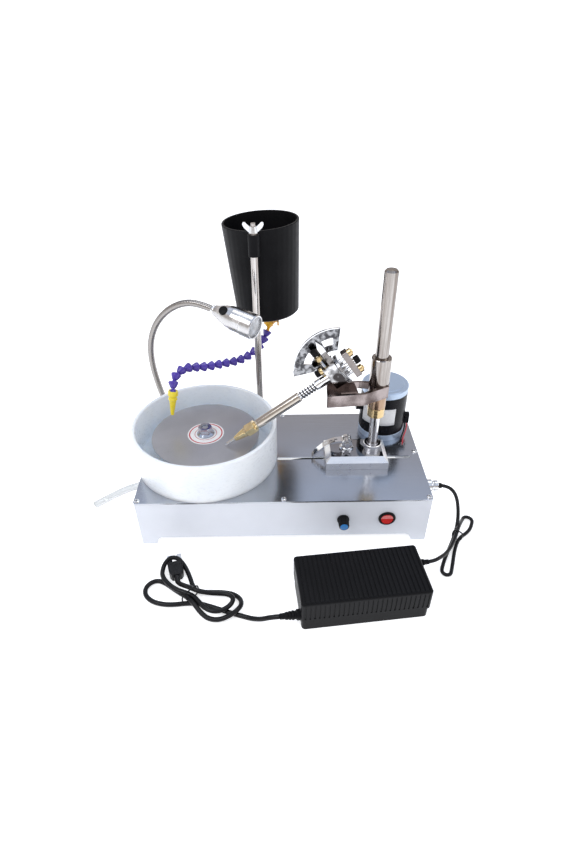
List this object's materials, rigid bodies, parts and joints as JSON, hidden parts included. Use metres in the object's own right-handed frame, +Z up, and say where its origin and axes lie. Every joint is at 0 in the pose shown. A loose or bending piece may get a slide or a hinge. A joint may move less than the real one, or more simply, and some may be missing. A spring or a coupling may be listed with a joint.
{
  "type": "flat lap wet grinder",
  "caption": "Bench flat-lap wet grinder with splash basin, drip bucket on a jointed hose, mast-mounted faceting head with tilting quill, gooseneck lamp, motor and corded supply.",
  "frame": {"origin": "centre of the base box's footprint on the bench plane", "axes": "+X to the operator's right along the long side, +Y away from the operator, +Z up"},
  "size_m": [0.5447, 0.4364, 0.3798],
  "materials": {
    "plate_steel": "brushed stainless sheet",
    "white_panel": "satin white sheet",
    "bright_steel": "bright plated steel",
    "basin_white": "satin white moulding",
    "dull_alloy": "turned alloy",
    "lap_metal": "fine diamond-coated grey",
    "motor_black": "black paint",
    "motor_grey": "blue-grey plated",
    "black_rubber": "matt black",
    "red_plastic": "red",
    "black_plastic": "fine matt black",
    "clear_hose": "soft clear hose",
    "chrome": "polished",
    "bucket_black": "satin black",
    "valve_orange": "orange",
    "link_violet": "violet blue",
    "nozzle_yellow": "yellow",
    "satin_steel": "satin",
    "lamp_silver": "satin anodised",
    "lens_clear": "clear",
    "gold_alloy": "gold",
    "dark_alloy": "dark chrome",
    "champagne": "champagne chrome",
    "spring_black": "black oxide",
    "board_green": "circuit board"
  },
  "bodies": {
    "base": {"top_plate": "plate_steel", "base_shell": "white_panel", "front_panel": "white_panel", "plate_fasteners": "bright_steel", "splash_basin": "basin_white", "spindle_housing": "dull_alloy", "spindle_bearings": "bright_steel", "drive_belt": "black_rubber", "motor_can": "motor_black", "motor_end_bells": "motor_grey", "motor_leads": "red_plastic", "drain_elbow": "black_plastic", "drain_hose": "clear_hose", "water_rod": "chrome", "speed_controller": "board_green", "switch_body": "black_plastic", "power_socket": "bright_steel", "dc_plug": "bright_steel", "dc_cable": "black_rubber", "brick_top": "black_plastic", "brick_bottom": "black_plastic", "ac_lead": "black_rubber", "ac_hank": "black_rubber", "ac_plug": "black_rubber"},
    "spindle": {"spindle_shaft": "bright_steel", "driven_pulley": "dull_alloy", "lap_disc": "lap_metal", "lap_nut": "bright_steel"},
    "rotor": {"motor_armature": "bright_steel", "drive_pulley": "dull_alloy"},
    "mast_slider": {"mast_block": "satin_steel", "mast_rod": "chrome", "clamp_stud": "bright_steel"},
    "lever": {"clamp_lever": "bright_steel"},
    "collar": {"stop_collar": "gold_alloy"},
    "carriage": {"mast_tube": "chrome", "carriage_bush": "gold_alloy", "head_bracket": "dark_alloy", "quadrant_plate": "satin_steel"},
    "head": {"yoke_block": "dark_alloy"},
    "plunger": {"index_plunger": "black_plastic"},
    "quill": {"quill_shaft": "champagne", "collet_chuck": "gold_alloy", "dop_stick": "bright_steel", "quill_spring": "spring_black", "index_wheel": "satin_steel", "rear_bridge": "dark_alloy"},
    "bucket": {"water_bucket": "bucket_black", "valve_body": "valve_orange"},
    "wing": {"wing_nut": "bright_steel"},
    "valve": {"valve_handle": "valve_orange"},
    "hose_upper": {"hose_links_upper": "link_violet"},
    "hose_lower": {"hose_links_lower": "link_violet"},
    "nozzle": {"drip_nozzle": "nozzle_yellow"},
    "lamp_arm": {"lamp_neck": "satin_steel"},
    "lamp_head": {"lamp_shell": "lamp_silver", "lamp_lens": "lens_clear"},
    "lamp_btn": {"lamp_button": "black_plastic"},
    "knob": {"speed_knob": "black_plastic"},
    "rocker_body": {"rocker": "red_plastic"}
  },
  "joints": [
    {"name": "spindle_spin", "type": "hinge", "parent": "base", "child": "spindle", "pos_m": [-0.1086, -0.0007, 0.06], "axis": [0, 0, 1], "continuous": true},
    {"name": "motor_spin", "type": "hinge", "parent": "base", "child": "rotor", "pos_m": [0.1515, 0.061, 0.06], "axis": [0, 0, 1], "continuous": true},
    {"name": "mast_slide", "type": "slide", "parent": "base", "child": "mast_slider", "axis": [1, 0, 0], "range_m": [-0.03, 0.008]},
    {"name": "clamp_turn", "type": "hinge", "parent": "mast_slider", "child": "lever", "pos_m": [0.09, -0.011, 0.1065], "axis": [0, 1, 0], "range_deg": [0, 100]},
    {"name": "collar_slide", "type": "slide", "parent": "mast_slider", "child": "collar", "axis": [0, 0, 1], "range_m": [0, 0.06]},
    {"name": "head_swing", "type": "hinge", "parent": "collar", "child": "carriage", "pos_m": [0.1265, -0.011, 0.25], "axis": [0, 0, 1], "range_deg": [-20, 4]},
    {"name": "head_tilt", "type": "hinge", "parent": "carriage", "child": "head", "pos_m": [0.07026, -0.01641, 0.222], "axis": [-0.0958, 0.9954, 0], "range_deg": [0, 35]},
    {"name": "index_press", "type": "slide", "parent": "head", "child": "plunger", "axis": [-0.8174, -0.0787, -0.5707], "range_m": [0, 0.004], "stiffness_N_per_m": 400},
    {"name": "quill_turn", "type": "hinge", "parent": "head", "child": "quill", "pos_m": [0.07026, -0.01641, 0.222], "axis": [0.8174, 0.0787, 0.5707], "continuous": true},
    {"name": "bucket_swing", "type": "hinge", "parent": "base", "child": "bucket", "pos_m": [-0.034, 0.085, 0.35], "axis": [0, 0, 1], "range_deg": [-8, 8]},
    {"name": "wing_turn", "type": "hinge", "parent": "base", "child": "wing", "pos_m": [-0.034, 0.085, 0.366], "axis": [0, 0, 1], "continuous": true},
    {"name": "valve_turn", "type": "hinge", "parent": "bucket", "child": "valve", "pos_m": [-0.01834, 0.145, 0.22153], "axis": [1, 0, 0], "range_deg": [0, 90]},
    {"name": "hose_root", "type": "hinge", "parent": "bucket", "child": "hose_upper", "pos_m": [-0.02197, 0.14099, 0.20292], "axis": [0, 0, 1], "range_deg": [-10, 10]},
    {"name": "hose_mid", "type": "hinge", "parent": "hose_upper", "child": "hose_lower", "pos_m": [-0.0928, 0.0862, 0.1782], "axis": [0, 0, 1], "range_deg": [-10, 10]},
    {"name": "nozzle_turn", "type": "hinge", "parent": "hose_lower", "child": "nozzle", "pos_m": [-0.1506, 0.0196, 0.1726], "axis": [-0.7863, 0.6178, 0], "range_deg": [0, 30]},
    {"name": "lamp_swing", "type": "hinge", "parent": "base", "child": "lamp_arm", "pos_m": [-0.177, 0.085, 0.08], "axis": [0, 0, 1], "range_deg": [-25, 12]},
    {"name": "lamp_nod", "type": "hinge", "parent": "lamp_arm", "child": "lamp_head", "pos_m": [-0.086, 0.038, 0.284], "axis": [-0.5309, -0.8474, 0], "range_deg": [-12, 12]},
    {"name": "lamp_press", "type": "slide", "parent": "lamp_head", "child": "lamp_btn", "axis": [0.2452, 0.6049, -0.7576], "range_m": [0, 0.0015], "stiffness_N_per_m": 600},
    {"name": "speed_turn", "type": "hinge", "parent": "base", "child": "knob", "pos_m": [0.0797, -0.0995, 0.043], "axis": [0, -1, 0], "range_deg": [-150, 150]},
    {"name": "rocker_tilt", "type": "hinge", "parent": "base", "child": "rocker_body", "pos_m": [0.1389, -0.0985, 0.043], "axis": [1, 0, 0], "range_deg": [-7, 7]}
  ],
  "couplings": [
    {"joint": "motor_spin", "follows": "spindle_spin", "ratio": 1.5607}
  ]
}
